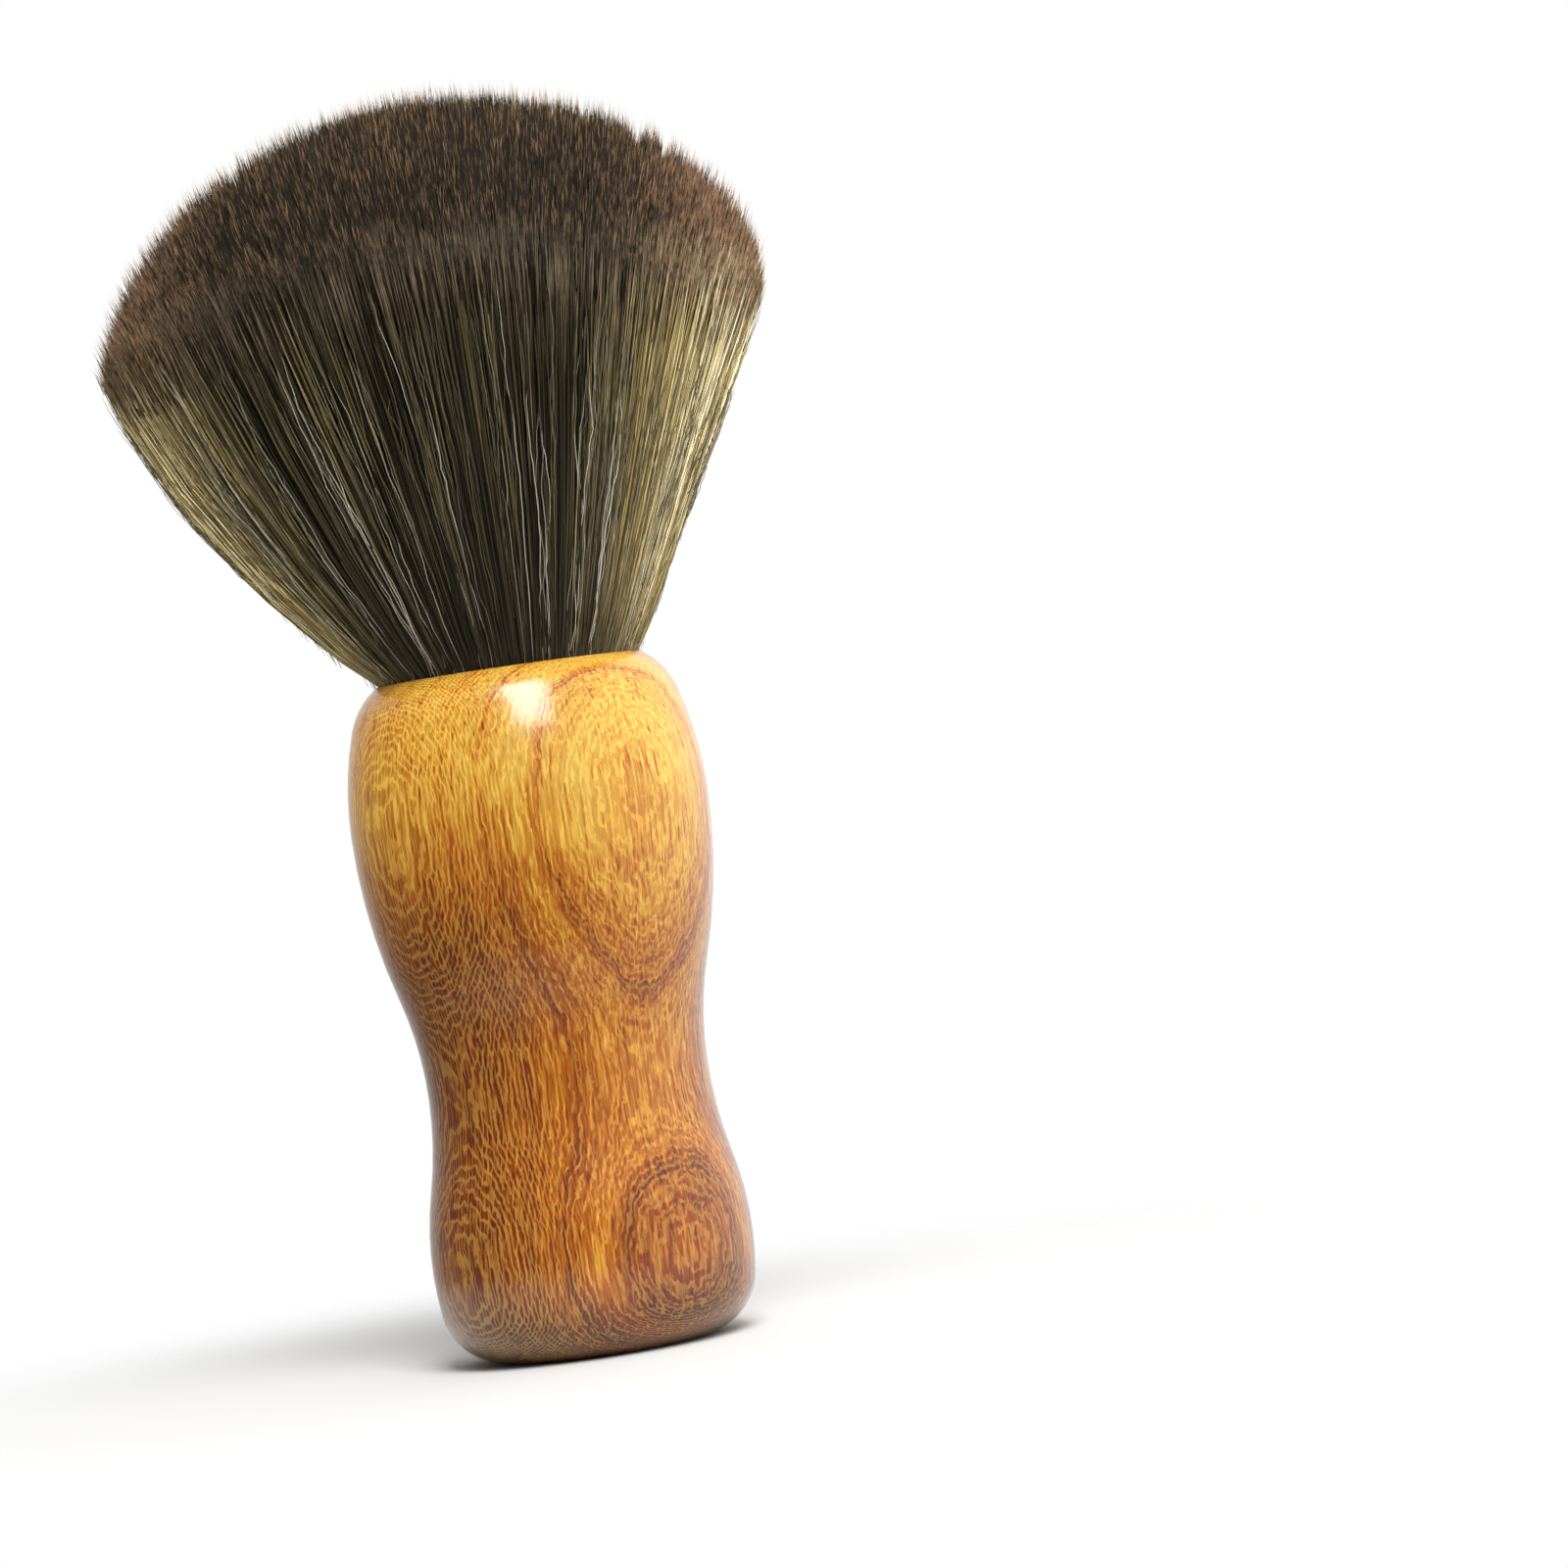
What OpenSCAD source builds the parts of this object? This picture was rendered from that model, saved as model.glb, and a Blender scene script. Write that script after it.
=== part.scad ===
// Neck duster brush: a turned wooden handle with a fan of fine fibres potted in its mouth.
// Frame: origin at the centre of the handle's flat base, +Z up the handle,
// +X across the fan's wide side, -Y is the front. All sizes are in millimetres.

/* [Handle] */
// Height of the handle, from the flat base to the rim of its mouth
handle_h = 99.9; // [97:0.1:105]
// Radius of the lower bulge, which the palm holds
belly_r = 23.5; // [22.5:0.1:25]
// Height of the lower bulge's widest ring
belly_z = 14.5; // [12:0.5:17]
// Radius of the waist
waist_r = 20.5; // [19.5:0.1:21.5]
// Height of the waist's narrowest ring
waist_z = 39.5; // [36:0.5:43]
// Radius of the upper bulge
shoulder_r = 26.2; // [25:0.1:27.5]
// Height of the upper bulge's widest ring
shoulder_z = 78.5; // [75:0.5:80]
// Radius that rounds the bottom edge of the handle
base_round = 9; // [6:0.5:10]
// Radius of the long curve from the shoulder's widest ring up towards the mouth
crown_arc = 52; // [48:1:60]
// Radius that rounds the shoulder over to the rim of the mouth
mouth_round = 11.5; // [9:0.5:13]

/* [Socket] */
// Radius of the socket that holds the fibres
socket_r = 19.2; // [17:0.1:19.4]
// Depth of the socket, from the top of the handle down
socket_depth = 27; // [20:1:32]
// Thickness of the adhesive on the floor and the lower wall of the socket
glue_t = 1; // [0.6:0.1:1.5]
// Height of the resin plug that the fibre roots are set in
plug_h = 9; // [6:0.5:11]

/* [Fibres] */
// Overall height of the brush, from the base to the crown of the fibres
brush_h = 184.6; // [178:0.1:190]
// Half width of the fan where it is widest
fan_r = 49.1; // [46:0.1:51]
// Height of the fan's widest ring above the mouth of the handle
fan_z = 49.3; // [46:0.1:52]
// Thickness of the fan from front to back, as a share of its width
fan_oval = 0.88; // [0.75:0.01:0.95]
// Angle of the fan's side from the vertical, in degrees
flare = 33.5; // [31:0.5:36]
// Radius of the domed cut across the tips
dome_r = 63; // [58:1:70]
// Radius at which the dome turns down into the fan's widest ring
corner_r = 28.4; // [24:0.2:30]
// Lean of the fibres towards -X as they leave the mouth, in degrees
lean = 4.5; // [0:0.5:6]
// Shift of the domed cut towards -X
dome_shift = 3.2; // [0:0.1:5]
// Gap between the fibres and the wall of the socket
root_gap = 0.1; // [0.05:0.05:0.3]

/* [Binding] */
// Diameter of the cord that binds the fibre roots
cord_d = 1.6; // [1:0.1:2]
// Number of turns of the cord
cord_turns = 3; // [2:1:4]
// Depth that the cord draws the bundle in
cord_bite = 2.4; // [2.2:0.1:3]

/* [Hidden] */
$fn = 96;
big = 200;

socket_z = handle_h - socket_depth;          // floor of the socket
plug_r = socket_r - glue_t;                  // the plug fills what the adhesive leaves
plug_z = socket_z + glue_t;
root_z = plug_z + plug_h;                    // where the free fibres start
root_r = socket_r - root_gap;                // the bundle, where the socket holds it
neck_r = root_r - cord_bite;                 // the bundle, where the cord binds it
cord_pitch = 0.9 * cord_d;                   // the turns press into each other a little
cord_z = root_z + cord_d / 2;
collar_z = cord_z + cord_turns * cord_pitch; // above here the bundle fills the socket

// The profile's solid of revolution about Z
module turned() {
    rotate_extrude() children();
}

// The same, drawn in from front to back, made a quarter at a time
module turned_oval() {
    for (i = [0:3])
        scale([1, fan_oval, 1]) rotate([0, 0, 90 * i])
            rotate_extrude(angle = 90) children();
}

// ---- Handle: its side is a chain of tangent arcs ----

arc_step = 4;                                // degrees of arc for each facet of the outline

// Points along an arc about c, from angle a0 to a1
function arc(c, r, a0, a1) =
    let (n = ceil(abs(a1 - a0) / arc_step))
    [for (i = [0:n]) c + r * [cos(a0 + (a1 - a0) * i / n), sin(a0 + (a1 - a0) * i / n)]];

// Direction from one point to another, in degrees
function heading(from, to) = atan2(to[1] - from[1], to[0] - from[0]);

// Sum of the radii of two arcs that join an outward crest to the inward crest
// that lies dr nearer the axis and dz away
function arc_sum(dr, dz) = (dr * dr + dz * dz) / (2 * dr);

// Centre, at height z, of an edge's arc that runs tangentially into the arc r about c
function edge_centre(c, r, edge, z) =
    [c[0] + sqrt(pow(r - edge, 2) - pow(c[1] - z, 2)), z];

// Centre of the arc that runs tangentially out of the arc r about c and ends at the rim
function rim_centre(c, r, round) =
    let (d = norm(rim - c), u = (rim - c) / d,
         a = (pow(r - round, 2) - pow(round, 2) + d * d) / (2 * d))
    c + a * u + sqrt(pow(r - round, 2) - a * a) * [u[1], -u[0]];

low_sum = arc_sum(belly_r - waist_r, waist_z - belly_z);
high_sum = arc_sum(shoulder_r - waist_r, shoulder_z - waist_z);
belly_arc = 0.45 * low_sum;
shoulder_arc = 0.62 * high_sum;

belly_c = [belly_r - belly_arc, belly_z];
low_c = [waist_r + low_sum - belly_arc, waist_z];
high_c = [waist_r + high_sum - shoulder_arc, waist_z];
shoulder_c = [shoulder_r - shoulder_arc, shoulder_z];
crown_c = [shoulder_r - crown_arc, shoulder_z];
base_c = edge_centre(belly_c, belly_arc, base_round, base_round);
rim = [socket_r, handle_h];
mouth_c = rim_centre(crown_c, crown_arc, mouth_round);

function handle_side() = concat(
    arc(base_c, base_round, -90, heading(belly_c, base_c)),
    arc(belly_c, belly_arc, heading(belly_c, base_c), heading(belly_c, low_c)),
    arc(low_c, low_sum - belly_arc, 180 + heading(belly_c, low_c), 180),
    arc(high_c, high_sum - shoulder_arc, 180, 180 + heading(shoulder_c, high_c)),
    arc(shoulder_c, shoulder_arc, heading(shoulder_c, high_c), 0),
    arc(crown_c, crown_arc, 0, heading(crown_c, mouth_c)),
    arc(mouth_c, mouth_round, heading(crown_c, mouth_c), heading(mouth_c, rim))
);

// Two arcs share the point where they meet, so it is kept once
function without_repeats(p) =
    [for (i = [0:len(p) - 1]) if (i == 0 || norm(p[i] - p[max(0, i - 1)]) > 0.001) p[i]];

module handle() {
    color("peru")
    turned() polygon(concat(
        [[0, socket_z], [0, 0]],
        without_repeats(handle_side()),
        [[socket_r, socket_z]]
    ));
}

// ---- Inside the socket ----

// A cup of glue between the plug and the wood
module adhesive_bed() {
    color("khaki")
    difference() {
        translate([0, 0, socket_z]) cylinder(r = socket_r, h = glue_t + plug_h);
        translate([0, 0, plug_z]) cylinder(r = plug_r, h = big);
    }
}

module root_plug() {
    color("darkgoldenrod")
    translate([0, 0, plug_z]) cylinder(r = plug_r, h = plug_h);
}

// The turns lie in the bundle's drawn-in neck
module binding_cord() {
    color("ivory")
    turned()
        for (i = [0:cord_turns - 1])
            translate([neck_r + cord_d / 2, cord_z + i * cord_pitch]) circle(d = cord_d);
}

// ---- Fibres: one soft solid, with the outline of the whole bundle ----

dome_c = brush_h - handle_h - dome_r;        // centre of the dome's arc, above the mouth
corner_x = fan_r - corner_r;
meet = [corner_x, fan_z - dome_c] / norm([corner_x, fan_z - dome_c]);

// The domed cut: the dome's arc over the crown, then the corner's arc
module dome_profile() {
    intersection() {
        translate([0, dome_c]) circle(dome_r);
        polygon([[0, dome_c], [0, big], meet * big + [0, dome_c]]);
    }
    intersection() {
        union() {
            translate([corner_x, fan_z]) circle(corner_r);
            polygon([[0, 0], [fan_r, 0], [fan_r, fan_z], [corner_x, fan_z], [0, dome_c]]);
            polygon([[0, dome_c], [corner_x, fan_z], meet * dome_r + [0, dome_c], [0, fan_z]]);
        }
        square([big, big]);
    }
}

// The flaring bundle, which the domed cut ends
module flare_profile() {
    reach = 0.75 * big;
    polygon([[0, 0], [root_r, 0], [root_r + reach * tan(flare), reach], [0, reach]]);
}

module fibre_tuft() {
    color("darkolivegreen") {
        translate([0, 0, root_z]) cylinder(r = neck_r, h = collar_z - root_z);
        translate([0, 0, collar_z]) cylinder(r = root_r, h = handle_h - collar_z);
        translate([0, 0, handle_h]) intersection() {
            rotate([0, -lean, 0]) turned_oval() flare_profile();
            translate([-dome_shift, 0, 0]) turned_oval() dome_profile();
        }
    }
}

handle();
adhesive_bed();
root_plug();
binding_cord();
fibre_tuft();
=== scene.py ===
"""Looks for the neck duster brush: varnished wooden handle and a fan of fine fibres.

Everything is in the CAD model's frame: +Z up the handle, +X across the fan, -Y the front.
Sizes and places are in millimetres; M turns them into Blender's metres.
"""
import math

import bpy
import numpy as np
from mathutils import Matrix, Vector


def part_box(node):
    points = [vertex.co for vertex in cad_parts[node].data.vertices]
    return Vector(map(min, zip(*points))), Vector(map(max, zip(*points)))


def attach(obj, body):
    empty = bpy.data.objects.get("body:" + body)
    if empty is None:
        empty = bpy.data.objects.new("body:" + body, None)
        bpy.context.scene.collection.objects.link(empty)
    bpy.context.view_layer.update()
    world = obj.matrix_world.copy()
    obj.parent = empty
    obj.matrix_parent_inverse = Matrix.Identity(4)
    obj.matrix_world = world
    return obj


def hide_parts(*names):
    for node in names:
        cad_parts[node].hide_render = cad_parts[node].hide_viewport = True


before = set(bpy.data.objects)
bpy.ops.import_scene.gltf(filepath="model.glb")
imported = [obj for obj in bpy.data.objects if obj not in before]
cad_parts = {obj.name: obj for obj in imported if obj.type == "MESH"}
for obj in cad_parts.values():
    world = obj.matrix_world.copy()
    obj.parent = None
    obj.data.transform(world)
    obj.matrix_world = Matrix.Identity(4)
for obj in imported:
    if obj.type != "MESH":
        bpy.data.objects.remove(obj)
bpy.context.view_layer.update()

M = 0.001
rng = np.random.default_rng(7)

# Heights measured on the CAD model
MOUTH_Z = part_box("handle")[1].z / M
SOCKET_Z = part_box("adhesive_bed")[0].z / M
CROWN_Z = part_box("fibre_tuft")[1].z / M
ROOT_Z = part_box("fibre_tuft")[0].z / M

# Sizes of the fan, the same as in the CAD model's source
FAN_R = 49.1                      # half width of the fan at its widest ring
FAN_OVAL = 0.88                   # thickness from front to back, as a share of the width
ROOT_R = 19.1                     # radius of the bundle in the mouth
DOME_R, CORNER_R = 63.0, 28.4     # radii of the domed cut's crown and of its corner


# ---------------------------------------------------------------- meshes

def mesh_object(name, verts, faces):
    """A mesh object from vertices in millimetres and faces of three or four corners."""
    mesh = bpy.data.meshes.new(name)
    mesh.from_pydata((np.asarray(verts, float) * M).tolist(), [], faces)
    mesh.validate()
    mesh.polygons.foreach_set("use_smooth", [True] * len(mesh.polygons))
    obj = bpy.data.objects.new(name, mesh)
    bpy.context.scene.collection.objects.link(obj)
    return obj


def lathe(name, outline, turns=192):
    """A solid of revolution about Z from (radius, z) points that start and end on the axis."""
    rings = outline[1:-1]
    verts = [(0, 0, outline[0][1]), (0, 0, outline[-1][1])]
    for r, z in rings:
        for i in range(turns):
            a = 2 * math.pi * i / turns
            verts.append((r * math.cos(a), r * math.sin(a), z))
    last = 2 + (len(rings) - 1) * turns
    faces = []
    for i in range(turns):
        j = (i + 1) % turns
        faces.append((0, 2 + j, 2 + i))
        faces.append((1, last + i, last + j))
        for k in range(len(rings) - 1):
            a, b = 2 + k * turns, 2 + (k + 1) * turns
            faces.append((a + i, a + j, b + j, b + i))
    return mesh_object(name, verts, faces)


def strands(name, paths, widths, attributes):
    """Closed three-sided tapering fibres. paths is (fibre, point, 3) and widths (fibre, point), in
    millimetres; each fibre ends in a point. attributes maps a name to (fibre, point) values."""
    count, points = widths.shape
    along = np.gradient(paths, axis=1)
    along /= np.linalg.norm(along, axis=2, keepdims=True)
    out = paths[:, :1] * [1, 1, 0] + [1e-3, 0, 0]
    side = np.cross(along, out)
    side /= np.linalg.norm(side, axis=2, keepdims=True)
    other = np.cross(along, side)
    spin = rng.uniform(0, 2 * math.pi, count)[:, None] + np.arange(3) * 2 * math.pi / 3
    ring = (np.cos(spin)[:, None, :, None] * side[:, :, None, :]
            + np.sin(spin)[:, None, :, None] * other[:, :, None, :])
    body = paths[:, :-1, None, :] + ring[:, :-1] * widths[:, :-1, None, None] / 2
    per = 3 * (points - 1) + 1
    verts = np.concatenate([body.reshape(count, -1, 3), paths[:, -1:, :]], axis=1)

    corner = np.arange(3)
    follow = (corner + 1) % 3
    quads = np.concatenate([
        np.stack([3 * k + corner, 3 * k + follow, 3 * k + 3 + follow, 3 * k + 3 + corner], 1)
        for k in range(points - 2)])
    top = 3 * (points - 2)
    tris = np.stack([top + corner, top + follow, np.full(3, per - 1)], 1)
    tris = np.concatenate([tris, [[2, 1, 0]]])
    start = (np.arange(count) * per)[:, None, None]
    loops = np.concatenate([(faces + start).reshape(count, -1) for faces in (quads, tris)], 1)
    sizes = np.tile(np.r_[np.full(len(quads), 4), np.full(len(tris), 3)], count)

    mesh = bpy.data.meshes.new(name)
    mesh.vertices.add(count * per)
    mesh.vertices.foreach_set("co", (verts * M).ravel())
    mesh.loops.add(loops.size)
    mesh.loops.foreach_set("vertex_index", loops.ravel())
    mesh.polygons.add(len(sizes))
    mesh.polygons.foreach_set("loop_start", np.r_[0, np.cumsum(sizes)[:-1]])
    mesh.polygons.foreach_set("use_smooth", np.ones(len(sizes), bool))
    for key, values in attributes.items():
        layer = mesh.attributes.new(key, "FLOAT", "POINT")
        spread = np.concatenate([np.repeat(values[:, :-1], 3, axis=1), values[:, -1:]], 1)
        layer.data.foreach_set("value", spread.ravel().astype(np.float32))
    mesh.update(calc_edges=True)
    obj = bpy.data.objects.new(name, mesh)
    bpy.context.scene.collection.objects.link(obj)
    return obj


# ------------------------------------------------------- shader helpers

class Nodes:
    """Short calls for building one material's node tree."""

    def __init__(self, name):
        self.material = bpy.data.materials.new(name)
        self.material.use_nodes = True
        self.tree = self.material.node_tree
        self.shader = self.tree.nodes["Principled BSDF"]

    def put(self, socket, value):
        if isinstance(value, bpy.types.NodeSocket):
            self.tree.links.new(value, socket)
        else:
            socket.default_value = value

    def math(self, kind, a, b=0.0):
        node = self.tree.nodes.new("ShaderNodeMath")
        node.operation = kind
        for socket, value in zip(node.inputs, (a, b)):
            self.put(socket, value)
        return node.outputs[0]

    def add(self, a, b):
        return self.math("ADD", a, b)

    def less(self, a, b):
        """a less b."""
        return self.math("SUBTRACT", a, b)

    def times(self, a, b):
        return self.math("MULTIPLY", a, b)

    def far(self, a, b):
        """How far (a, b) is from nought."""
        return self.math("SQRT", self.add(self.math("POWER", a, 2.0), self.math("POWER", b, 2.0)))

    def vector(self, x, y, z):
        node = self.tree.nodes.new("ShaderNodeCombineXYZ")
        for socket, value in zip(node.inputs, (x, y, z)):
            self.put(socket, value)
        return node.outputs[0]

    def noise(self, at, scale=1.0, detail=2.0, rough=0.5):
        node = self.tree.nodes.new("ShaderNodeTexNoise")
        self.put(node.inputs["Vector"], at)
        node.inputs["Scale"].default_value = scale
        node.inputs["Detail"].default_value = detail
        node.inputs["Roughness"].default_value = rough
        return node.outputs[0]

    def stretched(self, at, scales, detail=1.0, rough=0.5):
        """Noise with its own scale along each of three coordinates: the smaller, the longer."""
        scaled = [self.times(value, scale) for value, scale in zip(at, scales)]
        return self.noise(self.vector(*scaled), 1.0, detail, rough)

    def ramp(self, value, stops):
        """Colours by value: stops is a list of (place, sRGB colour of 0 to 255, or a number)."""
        node = self.tree.nodes.new("ShaderNodeValToRGB")
        self.put(node.inputs[0], value)
        points = node.color_ramp.elements
        while len(points) < len(stops):
            points.new(0.5)
        for point, (place, colour) in zip(points, stops):
            point.position = place
            point.color = srgb(*colour) if isinstance(colour, tuple) else (colour,) * 3 + (1,)
        return node.outputs[0]

    def mix(self, share, a, b, kind="MIX"):
        node = self.tree.nodes.new("ShaderNodeMix")
        node.data_type, node.blend_type = "RGBA", kind
        for socket, value in zip((node.inputs[0], node.inputs[6], node.inputs[7]), (share, a, b)):
            self.put(socket, value)
        return node.outputs[2]

    def smooth(self, value, low, high):
        """0 at low and 1 at high, eased between them; low may be the greater."""
        node = self.tree.nodes.new("ShaderNodeMapRange")
        node.interpolation_type = "SMOOTHSTEP"
        self.put(node.inputs[0], value)
        node.inputs[1].default_value, node.inputs[2].default_value = low, high
        return node.outputs[0]

    def place(self):
        """The point's coordinates in millimetres, as three numbers."""
        coords = self.tree.nodes.new("ShaderNodeTexCoord").outputs["Object"]
        scale = self.tree.nodes.new("ShaderNodeVectorMath")
        scale.operation = "SCALE"
        self.put(scale.inputs[0], coords)
        scale.inputs["Scale"].default_value = 1 / M
        split = self.tree.nodes.new("ShaderNodeSeparateXYZ")
        self.put(split.inputs[0], scale.outputs[0])
        return split.outputs[0], split.outputs[1], split.outputs[2]

    def attribute(self, name):
        node = self.tree.nodes.new("ShaderNodeAttribute")
        node.attribute_name = name
        return node.outputs["Fac"]

    def bump(self, height, depth, strength):
        node = self.tree.nodes.new("ShaderNodeBump")
        self.put(node.inputs["Height"], height)
        node.inputs["Distance"].default_value = depth * M
        node.inputs["Strength"].default_value = strength
        self.put(self.shader.inputs["Normal"], node.outputs[0])

    def finish(self, colour, rough, **uniform):
        self.put(self.shader.inputs["Base Color"], colour)
        self.put(self.shader.inputs["Roughness"], rough)
        for name, value in uniform.items():
            self.shader.inputs[name.replace("_", " ")].default_value = value
        return self.material


def srgb(r, g, b):
    """A linear colour from an sRGB one."""
    def linear(c):
        c /= 255
        return c / 12.92 if c <= 0.04045 else ((c + 0.055) / 1.055) ** 2.4
    return linear(r), linear(g), linear(b), 1.0


# ------------------------------------------------------------ materials

GRAIN_TURN = math.radians(41)     # bearing of the growth rings' outward direction, from the front
PITH = 75.0                       # distance from the handle's axis to the tree's pith
RING = 4.2                        # width of a year's growth
HEART = 22.0                      # one ring's distance from the axis, round the lower oval's core
VEIN = 0.66                       # spacing of the pale veins inside a ring
FINE_VEIN = 0.42 * VEIN           # spacing of the finer ones between them
RAY = 0.36                        # spacing of the ray sheets


def growth_rings(n, u, v, z):
    """Distance outwards over the growth rings, which are cylinders about the pith, warped along
    the grain: once with the full warp, and once with less of it."""
    slow = n.stretched((u, v, z), (0.05, 0.05, 0.022))
    jag = n.less(n.stretched((u, v, z), (0.12, 0.42, 0.22), 3.0, 0.62), 0.5)
    out = n.less(n.far(n.add(u, PITH), v), PITH)
    out = n.add(out, n.times(n.less(slow, 0.5), 3.0))
    return n.add(out, n.times(jag, 1.5)), n.add(out, n.times(jag, 0.9))


def late_wood(n, rings):
    """How dark each year's growth is: sharply dark at its end, then pale."""
    year = n.math("FRACT", n.math("DIVIDE", n.less(rings, HEART - 40 * RING), RING))
    return n.ramp(year, [(0.0, 0.78), (0.02, 0.72), (0.06, 0.30), (0.30, 0.26), (0.50, 0.04),
                         (0.78, 0.10), (0.92, 0.40), (0.975, 0.62), (1.0, 0.78)])


def pale_veins(n, at, rings, even_rings, ring_face):
    """Veins that follow the rings; where the surface lies along the rings, finer ones between."""
    gaps = n.stretched(at, (1.2, 1.6, 0.16), 2.0)
    broad = n.math("SINE", n.times(rings, 2 * math.pi / VEIN))
    broad = n.times(n.smooth(broad, 0.35, 0.95), n.smooth(gaps, 0.34, 0.60))
    broad = n.times(broad, n.less(1.0, n.times(ring_face, 0.45)))
    fine = n.math("SINE", n.times(even_rings, 2 * math.pi / FINE_VEIN))
    fine = n.times(n.smooth(fine, 0.0, 0.9), n.smooth(gaps, 0.70, 0.40))
    return n.math("MAXIMUM", broad, n.times(fine, n.times(ring_face, 0.7)))


def ray_arches(n, u, v, z, ray_face):
    """Rays: sheets along u, cut by the surface into stacked arches where it lies along them."""
    wander = n.stretched((u, 0.0, z), (0.30, 1.0, 0.16), 3.0, 0.6)
    sheet = n.add(v, n.times(wander, 1.1))
    sheet = n.math("SINE", n.times(sheet, 2 * math.pi / RAY))
    broken = n.stretched((u, v, z), (0.5, 1.0, 0.35))
    return n.times(n.times(n.smooth(sheet, 0.1, 0.85), n.smooth(broken, 0.30, 0.45)), ray_face)


def wood_material():
    """Varnished wood, cut so that the rings face front right and the rays face front left."""
    n = Nodes("varnished_wood")
    x, y, z = n.place()
    s, c = math.sin(GRAIN_TURN), math.cos(GRAIN_TURN)
    u = n.less(n.times(x, s), n.times(y, c))      # outwards from the pith
    v = n.add(n.times(x, c), n.times(y, s))       # across the rays

    # How squarely the surface is cut along the rays, and along the rings
    across = n.math("DIVIDE", n.math("ABSOLUTE", v), n.far(x, y))
    ray_face = n.smooth(across, 0.55, 0.95)
    ring_face = n.smooth(across, 0.75, 0.30)

    rings, even_rings = growth_rings(n, u, v, z)
    late = n.times(late_wood(n, rings), n.less(0.38, n.times(ray_face, 0.24)))
    pale = pale_veins(n, (u, v, z), rings, even_rings, ring_face)
    arches = ray_arches(n, u, v, z, ray_face)

    # Vessels: fine upright dashes, pale, here and there dark
    vessel = n.stretched((x, y, z), (2.0, 2.0, 0.10))
    dashes = n.smooth(vessel, 0.56, 0.68)
    scratches = n.smooth(vessel, 0.40, 0.30)

    # The ground's darkness: late wood, fibres, rays, vessels and broad patches; then painted shade
    # on the lower half, more where the rays face, and on the foot; then the core of the lower oval
    fibre = n.stretched((x, y, z), (3.0, 3.0, 0.12), 3.0, 0.6)
    patch = n.stretched((x, y, z), (0.05, 0.05, 0.03), 2.0)
    # painted shade: the lower half darkened, as if lit from above
    lower = n.times(n.smooth(z, 86.0, 52.0), n.add(n.times(ray_face, 0.13), 0.22))
    # painted shade: the foot darker still
    foot = n.times(n.smooth(z, 14.0, 1.0), 0.34)
    heart = n.times(n.smooth(rings, HEART - 0.2, HEART + 0.3), n.smooth(z, 42.0, 34.0))
    dark = n.add(late, n.less(n.times(fibre, 0.70), 0.12))
    for share in (n.times(ray_face, 0.10), n.times(scratches, 0.16),
                  n.times(n.less(patch, 0.5), 0.3), n.add(lower, foot), n.times(heart, 0.07)):
        dark = n.add(dark, share)

    ground = n.ramp(dark, [(0.12, (204, 166, 72)), (0.34, (192, 137, 42)), (0.50, (164, 84, 8)),
                           (0.72, (116, 43, 3)), (1.0, (70, 22, 2))])
    lighter = n.mix(1.0, ground, (1.45, 1.68, 2.0, 1), "MULTIPLY")
    veined = n.mix(0.34, lighter, srgb(246, 198, 88))
    colour = ground
    for figure, strength in ((pale, 0.95), (dashes, 0.60), (arches, 0.80)):
        colour = n.mix(n.times(figure, strength), colour, veined)

    # The varnish follows the same faint relief as the wood
    pores = n.stretched((x, y, z), (6.0, 6.0, 0.5), 2.0)
    n.bump(n.add(n.times(pale, 0.4), n.times(pores, 0.6)), 0.03, 0.55)
    n.put(n.shader.inputs["Coat Normal"], n.shader.inputs["Normal"].links[0].from_socket)
    rough = n.add(n.times(late, 0.15), 0.42)
    return n.finish(colour, rough, Specular_IOR_Level=0.12, Coat_Weight=1.0, Coat_Roughness=0.16,
                    Coat_IOR=1.54)


# the very tips' pale colour: partly the fibres' own paler ends, partly painted light for the glow
# along the dome's backlit edge
PALE_TIP = (192, 154, 104)
# the domed cut's brown, painted darker than the same brown on the sides: painted shade for light lost
# between the tips
PLUSH_WITH_PAINTED_SHADE = [(0.0, (38, 33, 27)), (0.5, (44, 39, 33)), (0.85, (142, 110, 84))]
SIDE_PLUSH = [(0.0, (84, 71, 55)), (0.5, (110, 95, 74)), (1.0, (158, 135, 101))]


def fibre_material(name, shades, plush=SIDE_PLUSH, rough=0.42, fade=(7.0, 24.0), shine=0.2):
    """Fibres shaded by their own tone, brown towards the domed cut and pale at the very tip. shades
    and plush are lists of (tone, colour) for the lower part and for the brown part, which give way
    to each other over the fade, in millimetres below the tip."""
    n = Nodes(name)
    below, tone = n.attribute("below_tip"), n.attribute("tone")
    x, y, z = n.place()
    speck = n.smooth(n.noise(n.vector(x, y, n.times(z, 0.5)), 1.6, 2.0), 0.3, 0.75)
    brown = n.ramp(n.add(n.times(speck, 0.4), n.times(tone, 0.6)), plush)
    colour = n.mix(n.smooth(below, *fade), brown, n.ramp(tone, shades))
    # the pale very tip: partly the fibres' own colour, partly painted light for the backlit fringe
    colour = n.mix(n.smooth(below, 1.7, 0.2), colour, srgb(*PALE_TIP))
    return n.finish(colour, rough, Specular_IOR_Level=shine)


def plush_material():
    """The short fibres of the domed cut, dark and dull: near their tips their brown is painted darker
    than on the fan's sides, as painted shade for light lost between the tips.
    """
    # the lower parts' colours are painted lighter than the long fibres' lower parts: painted light
    # that lifts the shade deep among the tips
    return fibre_material("plush_fibre", [(0.0, (68, 58, 45)), (1.0, (100, 85, 63))], PLUSH_WITH_PAINTED_SHADE,
                          rough=0.6, fade=(4.0, 12.0), shine=0.04)


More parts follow.
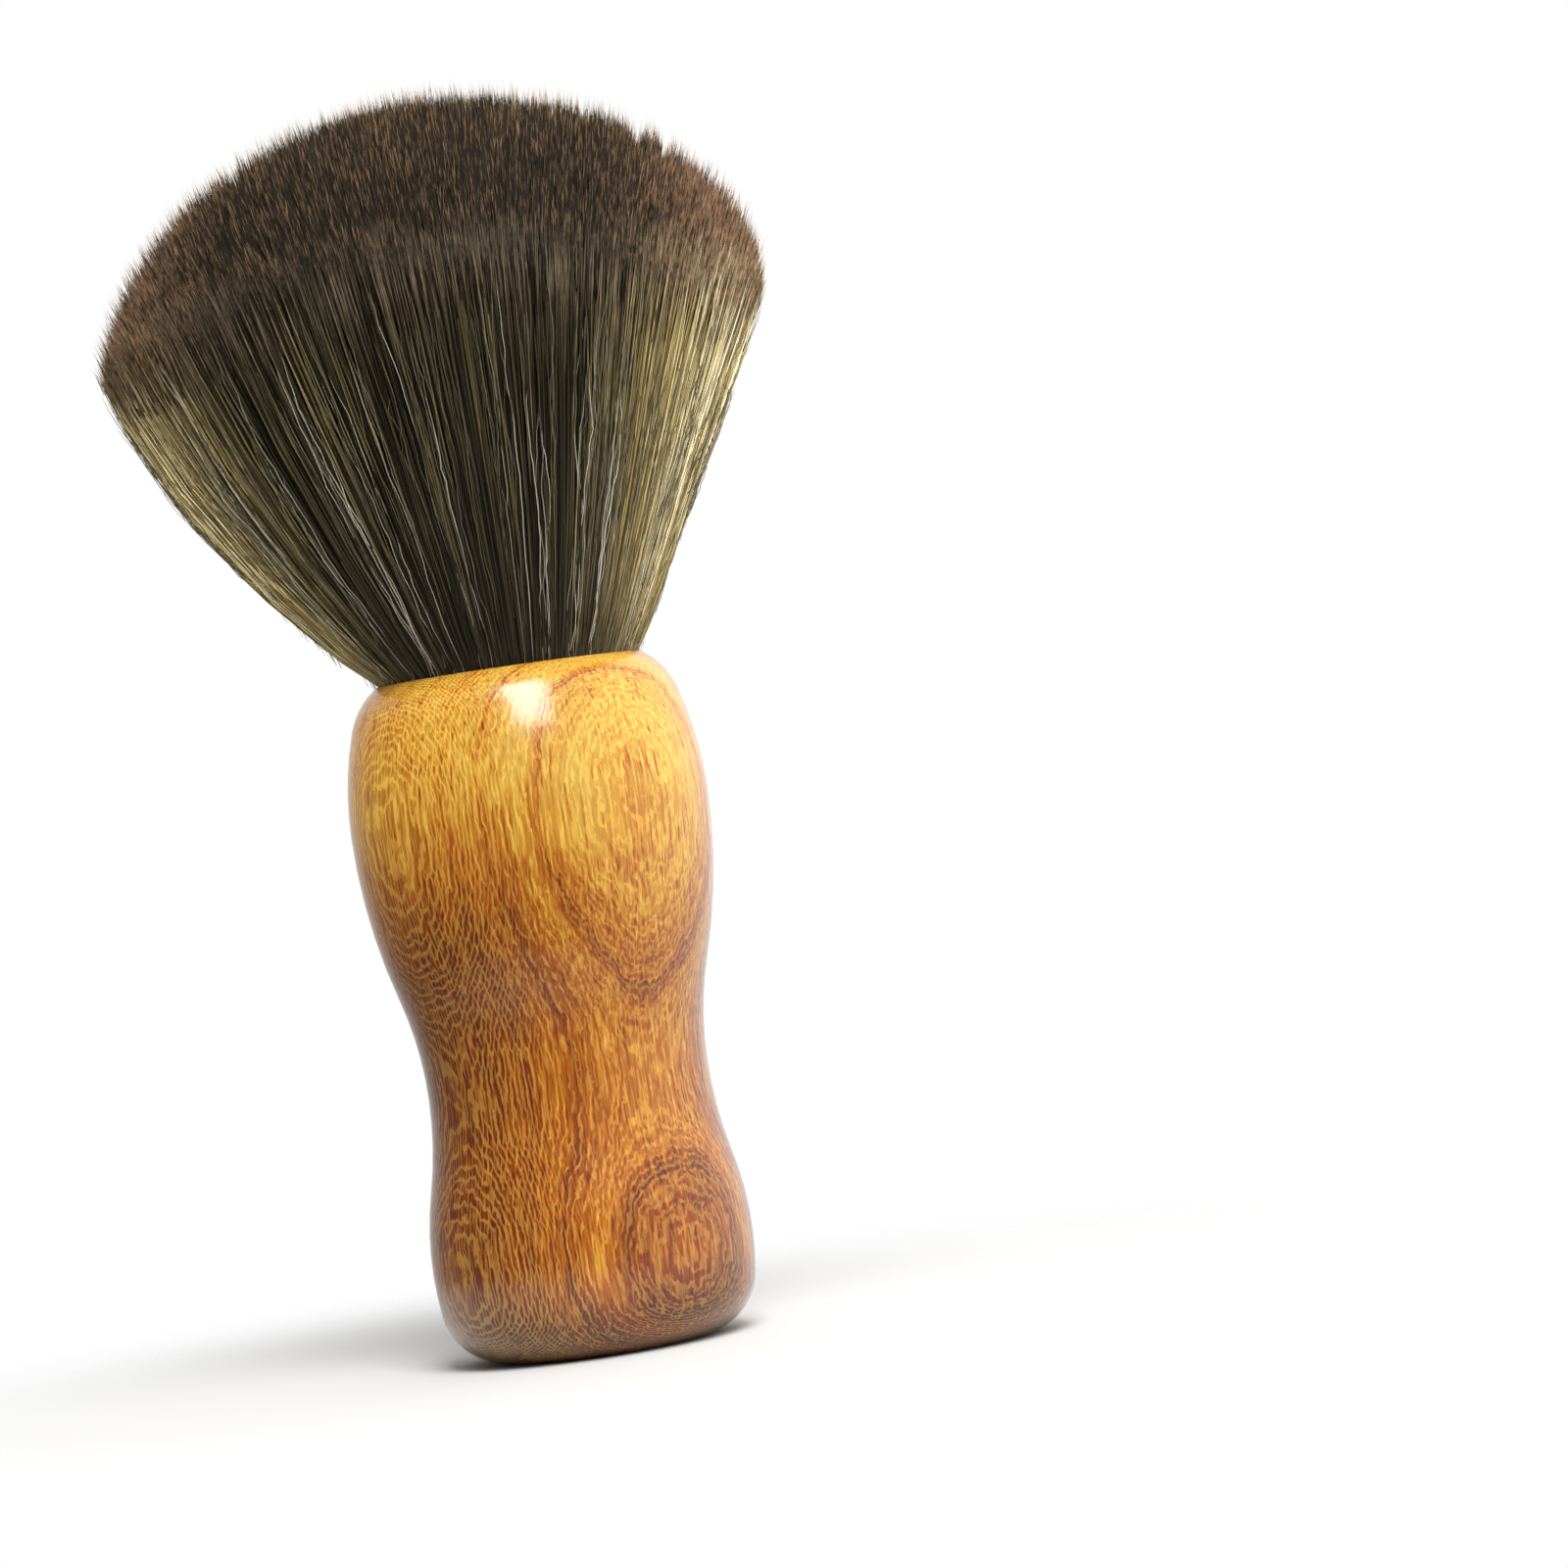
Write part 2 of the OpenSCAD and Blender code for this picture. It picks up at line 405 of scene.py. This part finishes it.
def long_material():
    """The fibres down the fan's sides: dark, and golden where their tone is high; the highest tones,
    near white, are painted light at the fan's edges.
    """
    return fibre_material("long_fibre", [(0.0, (38, 34, 27)), (0.30, (58, 52, 40)),
                                         (0.52, (94, 83, 56)), (0.74, (190, 170, 112)),
                                         (1.0, (250, 240, 198))])


def thread_material():
    return fibre_material("pale_thread", [(0.0, (128, 121, 104)), (1.0, (206, 199, 182))])


def silver_material():
    return fibre_material("silver_thread", [(0.0, (78, 70, 53)), (1.0, (134, 123, 96))])


# ---------------------------------------------------------- the handle

LIP_REACH = 0.5                   # how far the softening of the mouth's sharp lip reaches


def cad_outline(node):
    """(radius, height) up a turned CAD node's outer side."""
    co = np.array([v.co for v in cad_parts[node].data.vertices]) / M
    radius = np.hypot(co[:, 0], co[:, 1]).round(3)
    height = co[:, 2].round(3)
    outer = {}
    for r, z in zip(radius, height):
        outer[z] = max(r, outer.get(z, 0.0))
    return [(r, z) for z, r in sorted(outer.items()) if abs(z - SOCKET_Z) > 0.01]


def softened(points, corner, reach, steps=4):
    """The outline with one of its corners replaced by a small curve."""
    p, before, after = (np.array(points[i]) for i in (corner, corner - 1, corner + 1))
    a = p + (before - p) / np.linalg.norm(before - p) * reach
    b = p + (after - p) / np.linalg.norm(after - p) * reach
    curve = []
    for k in range(steps + 1):
        t = k / steps
        curve.append(tuple((1 - t) ** 2 * a + 2 * t * (1 - t) * p + t * t * b))
    return points[:corner] + curve + points[corner + 1:]


def make_handle():
    side = cad_outline("handle")
    mouth_r = side[-1][0]
    outline = [(0, 0)] + side + [(mouth_r, SOCKET_Z), (0, SOCKET_Z)]
    handle = lathe("turned_handle", softened(outline, len(side), LIP_REACH))
    handle.data.materials.append(wood_material())
    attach(handle, "root")
    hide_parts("handle")


# ------------------------------------------------------------ the fan

CORNER_C = np.array([FAN_R - CORNER_R, 49.0])             # the corner's centre, above the mouth
DOME_C = CROWN_Z - MOUTH_Z - DOME_R                       # height of the dome's centre above it
MEET = math.atan2(CORNER_C[0], CORNER_C[1] - DOME_C)      # angle at which the arcs meet
CUT_DEPTH = 35.3                  # from the crown down to the widest ring
CROWN_SHIFT, EDGE_SHIFT = 1.5, 2.6      # the cut's shift to the left, and what the lean adds below
SIDE_BOW, LEFT_BOW = 1.2, 3.4     # how far the sides bow outward, and what the left side adds
GRID = 400                        # steps in which the cut's area is added up


def tip_profile(share, theta):
    """Radius and height above the mouth of the domed cut. share runs from 0 at the crown to 1 at
    the fan's edge, which comes higher at the front and back than at the sides."""
    end = np.radians(88 - 20 * np.sin(theta) ** 2)
    crown, corner = DOME_R * MEET, CORNER_R * (end - MEET)
    s = share * (crown + corner)
    on_crown = s < crown
    a = np.where(on_crown, s / DOME_R, MEET + (s - crown) / CORNER_R)
    r = np.where(on_crown, DOME_R * np.sin(a), CORNER_C[0] + CORNER_R * np.sin(a))
    h = np.where(on_crown, DOME_C + DOME_R * np.cos(a), CORNER_C[1] + CORNER_R * np.cos(a))
    return r, h


def area_within(theta):
    """Places from the crown to the edge along one bearing, and the share of the area inside each."""
    grid = np.linspace(0, 1, GRID)
    r, _ = tip_profile(grid, np.full(GRID, theta))
    area = np.cumsum(r)
    return grid, area / area[-1]


def root_share(share):
    """Where a fibre sits in the mouth, as a share of its radius, so that none cross."""
    return np.sqrt(np.interp(share, *area_within(0.0)))


def fan_paths(share, theta, places, longer=0.0, proud=0.0):
    """Paths of fibres from the mouth to the domed cut, and their lengths: places are shares of the
    length, longer is what the tip stands past the cut, and proud lifts the fibre off the side."""
    r, h = tip_profile(share, theta)
    shift = -CROWN_SHIFT - EDGE_SHIFT * ((CROWN_Z - MOUTH_Z - h) / CUT_DEPTH) ** 2
    tip = np.stack([shift + r * np.cos(theta), FAN_OVAL * r * np.sin(theta), h], -1)
    q = root_share(share) * ROOT_R
    root = np.stack([q * np.cos(theta), q * np.sin(theta), np.zeros_like(q)], -1)
    out = np.stack([np.cos(theta), np.sin(theta), np.zeros_like(q)], -1)
    # the left side bows outward, the right runs straight
    left, right = np.clip(-np.cos(theta), 0, 1), np.clip(np.cos(theta), 0, 1)
    bow = (SIDE_BOW + LEFT_BOW * left ** 2 - SIDE_BOW * right) * share ** 2
    aim = tip - root
    reach = np.linalg.norm(aim, axis=-1, keepdims=True)
    tip = tip + aim / reach * np.asarray(longer)[..., None]
    t = np.asarray(places)
    t = np.broadcast_to(t, (len(share), t.shape[-1]))[..., None]
    paths = root[:, None] * (1 - t) + tip[:, None] * t
    inside = np.clip(t, 0, 1)
    lift = 4 * inside * (1 - inside) * bow[:, None, None]
    lift = lift + np.asarray(proud).reshape(-1, 1, 1) * np.clip(t * 8, 0, 1)
    paths = paths + out[:, None] * lift
    paths[..., 2] += MOUTH_Z
    return paths, reach[:, 0]


def rooted(paths, depth=4.0):
    """The same fibres with their feet carried down into the mouth, a little inward."""
    feet = paths[:, :1] * [0.97, 0.97, 1.0] - [0, 0, depth]
    return np.concatenate([feet, paths], axis=1)


def wobble(paths, size, waves, seed):
    """Gentle sideways waves, none at the root."""
    local = np.random.default_rng(seed)
    count, points, _ = paths.shape
    t = np.linspace(0, 1, points)
    for axis in (0, 1):
        phase = local.uniform(0, 2 * math.pi, (count, 1))
        turns = local.uniform(0.5, 1.5, (count, 1)) * waves
        amount = local.uniform(0.3, 1.0, (count, 1)) * size
        paths[..., axis] += amount * np.sin(phase + turns * 2 * math.pi * t) * np.sqrt(t)
    return paths


def finish_fibres(obj, material, *replaced):
    obj.data.materials.append(material)
    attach(obj, "root")
    if replaced:
        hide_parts(*replaced)


def make_core(material):
    """A closed dark shell just under the fibres, so that no light comes through the fan. It is the
    only piece that stands for the CAD model's tuft; the fibres are laid over it."""
    turns, rows, steps = 128, 40, 24          # round it, up its side and over its top
    edge, length = 0.93, 0.86                 # shares of the cut and of the fibres that it reaches
    theta = np.linspace(0, 2 * math.pi, turns, endpoint=False)
    rings = [(edge, k / (rows - 1) * length) for k in range(rows)]
    rings += [(edge * (1 - k / steps), length) for k in range(1, steps)]
    verts = []
    for share, place in rings:
        paths, _ = fan_paths(np.full(turns, share), theta, np.array([place]))
        verts.extend(paths[:, 0])
    faces = []
    for k in range(len(rings) - 1):
        for i in range(turns):
            j = (i + 1) % turns
            faces.append((k * turns + i, k * turns + j, (k + 1) * turns + j, (k + 1) * turns + i))
    last = (len(rings) - 1) * turns
    crown = len(verts)
    verts.append(np.mean(verts[last:], axis=0))
    foot = len(verts)
    verts.append((0, 0, ROOT_Z))
    neck = len(verts)
    neck_r = ROOT_R * 0.9
    verts.extend(np.stack([neck_r * np.cos(theta), neck_r * np.sin(theta), np.full(turns, ROOT_Z)], 1))
    for i in range(turns):
        j = (i + 1) % turns
        faces.append((crown, last + i, last + j))
        faces.append((i, neck + i, neck + j, j))
        faces.append((foot, neck + j, neck + i))
    core = mesh_object("fan_core", verts, faces)
    for key, value in (("below_tip", 10.0), ("tone", 0.25)):
        layer = core.data.attributes.new(key, "FLOAT", "POINT")
        layer.data.foreach_set("value", [value] * len(core.data.vertices))
    finish_fibres(core, material, "fibre_tuft")


TIPS, SIDES, FRINGE = 42000, 11000, 6500      # numbers of fibres
TUFT = 1.15                       # spacing of the small tufts
TUFT_SPAN = 69.4                  # length over which their rings are counted from crown to edge
PARTINGS = ((31.8, 0.5, 4.5), (35.6, 0.4, 3.0), (24.0, 0.4, 1.2), (-28.0, 0.5, 1.6), (8.0, 0.4, 1.2))
PARTING_REACH = 13                # how far the partings run to the front and back


def cut_relief(share, theta):
    """How far the tips at a place stand off the smooth cut: slow waves, less the partings, each of
    which has a place across the fan, a width and a depth."""
    r, _ = tip_profile(share, theta)
    x, y = r * np.cos(theta), r * np.sin(theta)
    gaps = np.zeros_like(x)
    for middle, width, depth in PARTINGS:
        gaps += depth * np.exp(-((x - middle) / width) ** 2)
    gaps = gaps * np.exp(-(y / PARTING_REACH) ** 2)
    return 0.5 * np.sin(theta * 7 + share * 9) * share - gaps


def spread_over_cut(count):
    """Random places over the domed cut, evenly by area."""
    grid, area = area_within(0.8)
    share = np.interp(rng.uniform(0, 1, count), area, grid)
    return share, rng.uniform(0, 2 * math.pi, count)


def add_fibres(name, paths, width, below, tone, material):
    """One piece of fibres. below is the distance of each point under the tip."""
    finish_fibres(strands(name, paths, width, {"below_tip": below, "tone": tone}), material)


def add_by_bearing(name, count, theta, paths, width, below, tone, material):
    """Fibres split by bearing into pieces that stay a workable size."""
    which = ((theta % (2 * math.pi)) / (2 * math.pi) * count).astype(int)
    for k in range(count):
        own = which == k
        add_fibres(f"{name}_{k + 1}", paths[own], width[own], below[own], tone[own], material)


def make_tips(material):
    """The plush: short fibres whose ends make the domed cut, drawn into small tufts."""
    share, theta = spread_over_cut(TIPS)
    r, _ = tip_profile(share, theta)
    # tufts: each fibre's tip leans to the middle of its small cell, which has its own length from a
    # scrambling of the cell's own numbers
    ring = np.round(share * TUFT_SPAN / TUFT)
    around = np.maximum(6, np.round(2 * math.pi * r / TUFT))
    cell = np.round(theta / (2 * math.pi) * around + (ring % 2) * 0.5)
    seed = np.sin(ring * 12.9898 + cell * 78.233) * 43758.5453
    cell_random = seed - np.floor(seed)
    mid_theta = (cell - (ring % 2) * 0.5) / around * 2 * math.pi
    mid_share = ring * TUFT / TUFT_SPAN
    longer = rng.normal(-1.0, 0.40, TIPS) + (cell_random - 0.5) * 0.8 + cut_relief(share, theta)
    tip_theta = (theta + mid_theta) / 2
    tip_share = np.clip((share + mid_share) / 2, 0, 1)

    length = rng.uniform(8.5, 12.0, TIPS)
    middle = 0.45                             # place of the middle point, from the tip down
    _, reach = fan_paths(share, theta, np.array([1.0]))
    places = np.stack([1 - length / reach, 1 - length * middle / reach], 1)
    low, _ = fan_paths(share, theta, places, longer)
    top, _ = fan_paths(tip_share, tip_theta, np.array([1.0]), longer)
    paths = np.concatenate([low, top], axis=1)
    paths[:, :2] += rng.normal(0, 0.12, (TIPS, 2, 3))
    width = rng.uniform(0.19, 0.28, (TIPS, 1)) * np.array([[1.0, 0.8, 0.1]])
    below = length[:, None] * np.array([[1.0, middle, 0.0]]) + 1.7

    # painted light: paler towards the fan's right and left edges, for light shining through the fibres
    # there
    across = r * np.cos(theta) / FAN_R
    edge = np.clip((across - 0.50) / 0.40, 0, 1) + 0.8 * np.clip((-across - 0.55) / 0.30, 0, 1)
    tone = 0.40 * rng.uniform(0, 1, TIPS) + 0.20 * cell_random + 0.60 * edge
    tone = np.repeat(np.clip(tone, 0, 1)[:, None], 3, 1)
    add_by_bearing("fibre_tips", 3, theta, paths, width, below, tone, material)


def make_fringe(material):
    """Thin pale-ended fibres that stand a little past the rest, all over the domed cut."""
    share, theta = spread_over_cut(FRINGE)
    longer = rng.uniform(0.0, 1.7, FRINGE) + cut_relief(share, theta)
    _, reach = fan_paths(share, theta, np.array([1.0]))
    places = np.stack([1 - 5.0 / reach, 1 - 2.2 / reach, np.ones(FRINGE)], 1)
    paths, _ = fan_paths(share, theta, places, longer)
    paths[:, :2] += rng.normal(0, 0.15, (FRINGE, 2, 3))
    width = rng.uniform(0.06, 0.10, (FRINGE, 1)) * np.array([[1.0, 0.9, 0.3]])
    below = np.tile([5.0, 2.0, 0.0], (FRINGE, 1))
    tone = np.repeat(rng.uniform(0.3, 1, (FRINGE, 1)), 3, 1)
    add_fibres("fringe", paths, width, below, tone, material)


def edge_glow(theta):
    """How near a bearing is to the fan's right and left edges, where the fibres are painted paler as
    painted light shining through them.
    """
    across = np.cos(theta)
    return np.clip((across - 0.50) / 0.36, 0, 1), np.clip((-across - 0.66) / 0.26, 0, 1)


def make_sides(material):
    """Long fibres down the fan's sides, from the tips into the mouth."""
    theta = rng.uniform(0, 2 * math.pi, SIDES)
    share = 1 - 0.10 * rng.uniform(0, 1, SIDES) ** 1.2
    points = np.array([0.0, 0.10, 0.35, 0.62, 0.85, 1.0])
    # most end at the cut, the others at any height under it
    longer = np.where(rng.uniform(0, 1, SIDES) < 0.6, rng.uniform(-3.0, 0.2, SIDES),
                      rng.uniform(-14.0, -2.0, SIDES))
    paths, reach = fan_paths(share, theta, points, longer, proud=rng.uniform(-0.3, 0.4, SIDES))
    paths = rooted(wobble(paths, 0.38, 1.0, 3))
    width = rng.uniform(0.17, 0.32, (SIDES, 1)) * np.array([[1, 1, 1, 1, 0.95, 0.7, 0.15]])

    # the brown ends at its own height on each fibre, higher up at the fan's edges, so that the painted
    # light there reaches further up
    right, left = edge_glow(theta)
    early = rng.uniform(-4, 7, SIDES) + (right + 0.7 * left) * rng.uniform(-2, 16, SIDES)
    down = 1 - np.r_[0, points][None]
    below = reach[:, None] * down + 2 + np.clip(early - longer, 0, None)[:, None]

    # dark on the faces and pale at the edges, the pale being painted light shining through the fibres
    # there, and every fibre darker low down
    chance = rng.uniform(0, 1, (2, SIDES))
    tone = 0.66 * chance[0] ** 1.5 * (1 - right) * (1 - left)
    tone += right * (0.68 + 0.32 * chance[1]) + left * (0.62 + 0.36 * chance[1])
    tone = tone[:, None] * np.array([[0.6, 0.62, 0.78, 0.95, 1.0, 1.0, 1.0]])
    add_by_bearing("side_fibres", 2, theta, paths, width, below, tone, material)


def make_threads(name, count, material, widths, starts, ends, sway):
    """Sparse paler threads lying on the fan's sides, kinked, that stop short of the tips. starts
    and ends are ranges, as shares of the way from the mouth to the cut."""
    theta = rng.uniform(0, 2 * math.pi, count)
    side, pick = rng.choice([-1, 1], count), rng.uniform(0, 1, count)
    # some are kept for the right edge and some for the left
    to_right, to_left = rng.uniform(0.5, 0.98, count), rng.uniform(0.8, 0.98, count)
    theta = np.where(pick < 0.24, side * np.arccos(to_right), theta)
    theta = np.where(pick > 0.91, math.pi + side * np.arccos(to_left), theta)
    points = np.linspace(0, 1, 22)
    starts, ends = rng.uniform(*starts, (count, 1)), rng.uniform(*ends, (count, 1))
    places = starts + points[None] * (ends - starts)
    paths, _ = fan_paths(np.ones(count), theta, places, proud=rng.uniform(0.25, 0.6, count))
    drift = np.zeros((count, 2))
    for k in range(1, len(points)):
        drift = 0.75 * drift + rng.normal(0, 1, (count, 2)) * sway
        paths[:, k, 0] += drift[:, 0]
        paths[:, k, 1] += drift[:, 1] * 0.5
    paths = rooted(wobble(paths, 0.5, 1.5, 5), 2.0)
    taper = np.interp(np.r_[0, points], [0, 0.15, 0.85, 1], [0.5, 1, 0.9, 0.2])
    width = rng.uniform(*widths, (count, 1)) * taper
    tone = np.repeat(rng.uniform(0, 1, (count, 1)), len(taper), 1)
    add_fibres(name, paths, width, np.full_like(tone, 30.0), tone, material)


# ------------------------------------------------------- inside pieces

def plain_material(name, colour, rough, grain):
    n = Nodes(name)
    x, y, z = n.place()
    mottle = n.noise(n.vector(x, y, z), grain, 3.0)
    tint = n.mix(mottle, srgb(*colour), srgb(*(c * 0.75 for c in colour)))
    n.bump(mottle, 0.05, 0.4)
    return n.finish(tint, rough)


def dress_inside():
    for node, colour, rough, grain in (("adhesive_bed", (214, 196, 130), 0.25, 0.6),
                                       ("root_plug", (150, 108, 44), 0.2, 0.3),
                                       ("binding_cord", (226, 218, 196), 0.8, 3.0)):
        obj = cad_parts[node]
        obj.data.materials.clear()
        obj.data.materials.append(plain_material(node + "_look", colour, rough, grain))


# ------------------------------------------------------ stage and light

def make_stage():
    n = Nodes("pale_floor")
    x, y, z = n.place()
    away = n.math("SQRT", n.math("ADD", n.math("POWER", x, 2.0), n.math("POWER", y, 2.0)))
    n.finish(srgb(212, 212, 211), 0.9)
    clear = n.tree.nodes.new("ShaderNodeBsdfTransparent")
    blend = n.tree.nodes.new("ShaderNodeMixShader")
    n.put(blend.inputs[0], n.smooth(away, 50.0, 170.0))
    n.put(blend.inputs[1], n.shader.outputs[0])
    n.put(blend.inputs[2], clear.outputs[0])
    n.put(n.tree.nodes["Material Output"].inputs[0], blend.outputs[0])
    floor = mesh_object("floor", [(-200, -200, 0), (200, -200, 0), (200, 200, 0), (-200, 200, 0)],
                        [(0, 1, 2, 3)])
    floor.data.materials.append(n.material)


def hang_lamp(name, kind, place, target, power):
    """A lamp at a place, turned towards its target."""
    data = bpy.data.lights.new(name, kind)
    data.energy = power
    lamp = bpy.data.objects.new(name, data)
    bpy.context.scene.collection.objects.link(lamp)
    lamp.location = Vector(place) * M
    lamp.rotation_euler = (Vector(target) - Vector(place)).to_track_quat("-Z", "Y").to_euler()
    return lamp


def soft_box(name, place, target, size, power):
    data = hang_lamp(name, "AREA", place, target, power).data
    data.shape, data.size, data.size_y = "RECTANGLE", size[0] * M, size[1] * M


def edge_beam(name, place, target, power):
    """A soft-edged beam on the fan's edge, which clears the handle and isn't seen in its varnish."""
    lamp = hang_lamp(name, "SPOT", place, target, power)
    lamp.visible_glossy = False
    lamp.data.shadow_soft_size = 50 * M
    lamp.data.spot_size, lamp.data.spot_blend = math.radians(19), 1.0


def glow(tree, toward, start, low, high):
    """Light that grows smoothly from low to high towards one direction, from the cosine start."""
    facing = tree.nodes.new("ShaderNodeVectorMath")
    facing.operation = "DOT_PRODUCT"
    bearing = tree.nodes.new("ShaderNodeTexCoord").outputs["Generated"]
    tree.links.new(bearing, facing.inputs[0])
    facing.inputs[1].default_value = Vector(toward).normalized()
    level = tree.nodes.new("ShaderNodeMapRange")
    level.interpolation_type = "SMOOTHSTEP"
    tree.links.new(facing.outputs["Value"], level.inputs[0])
    for socket, value in zip(level.inputs[1:5], (start, 1.0, low, high)):
        socket.default_value = value
    return level.outputs[0]


def make_light():
    """A surround that the camera sees as white and that lights the brush mostly from behind and
    the right, an overhead soft box in front, and a beam on each edge of the fan."""
    world = bpy.data.worlds.new("studio")
    bpy.context.scene.world = world
    world.use_nodes = True
    tree = world.node_tree
    back = tree.nodes["Background"]
    back.inputs[0].default_value = (1, 1, 1, 1)
    seen = tree.nodes.new("ShaderNodeLightPath").outputs["Is Camera Ray"]
    strength = tree.nodes.new("ShaderNodeMix")
    tree.links.new(seen, strength.inputs[0])
    tree.links.new(glow(tree, (0.75, 0.5, 0.45), -0.6, 0.13, 1.1), strength.inputs[2])
    strength.inputs[3].default_value = 1.0
    tree.links.new(strength.outputs[0], back.inputs[1])
    soft_box("overhead", (170, -620, 860), (0, 0, 90), (420, 800), 14.2)
    edge_beam("right_edge", (440, 120, 30), (30, 0, 150), 20.0)
    edge_beam("left_edge", (-440, 20, 30), (-36, 0, 140), 12.0)
    bpy.context.scene.view_settings.view_transform = "Standard"


def make_camera():
    """Square on to the handle's side, rolled so that the brush leans to the left."""
    away, aim, lean = 843, Vector((37.3, 0, 77.4)), math.radians(8.25)
    data = bpy.data.cameras.new("camera")
    data.sensor_width, data.lens = 36.0, 132.8
    camera = bpy.data.objects.new("camera", data)
    bpy.context.scene.collection.objects.link(camera)
    right = Vector((math.cos(lean), 0, -math.sin(lean)))
    up = Vector((math.sin(lean), 0, math.cos(lean)))
    turn = Matrix((right, up, Vector((0, -1, 0)))).transposed().to_4x4()
    camera.matrix_world = Matrix.Translation((aim + Vector((0, -away, 0))) * M) @ turn
    bpy.context.scene.camera = camera


make_handle()
dress_inside()

plush, long_fibres = plush_material(), long_material()
pale, silver = thread_material(), silver_material()
make_core(long_fibres)
make_tips(plush)
make_fringe(plush)
make_sides(long_fibres)
make_threads("pale_threads", 120, pale, (0.11, 0.19), (0.0, 0.05), (0.50, 0.95), 0.13)
make_threads("silver_threads", 420, silver, (0.10, 0.17), (0.1, 0.5), (0.6, 0.97), 0.08)
make_stage()
make_light()
make_camera()
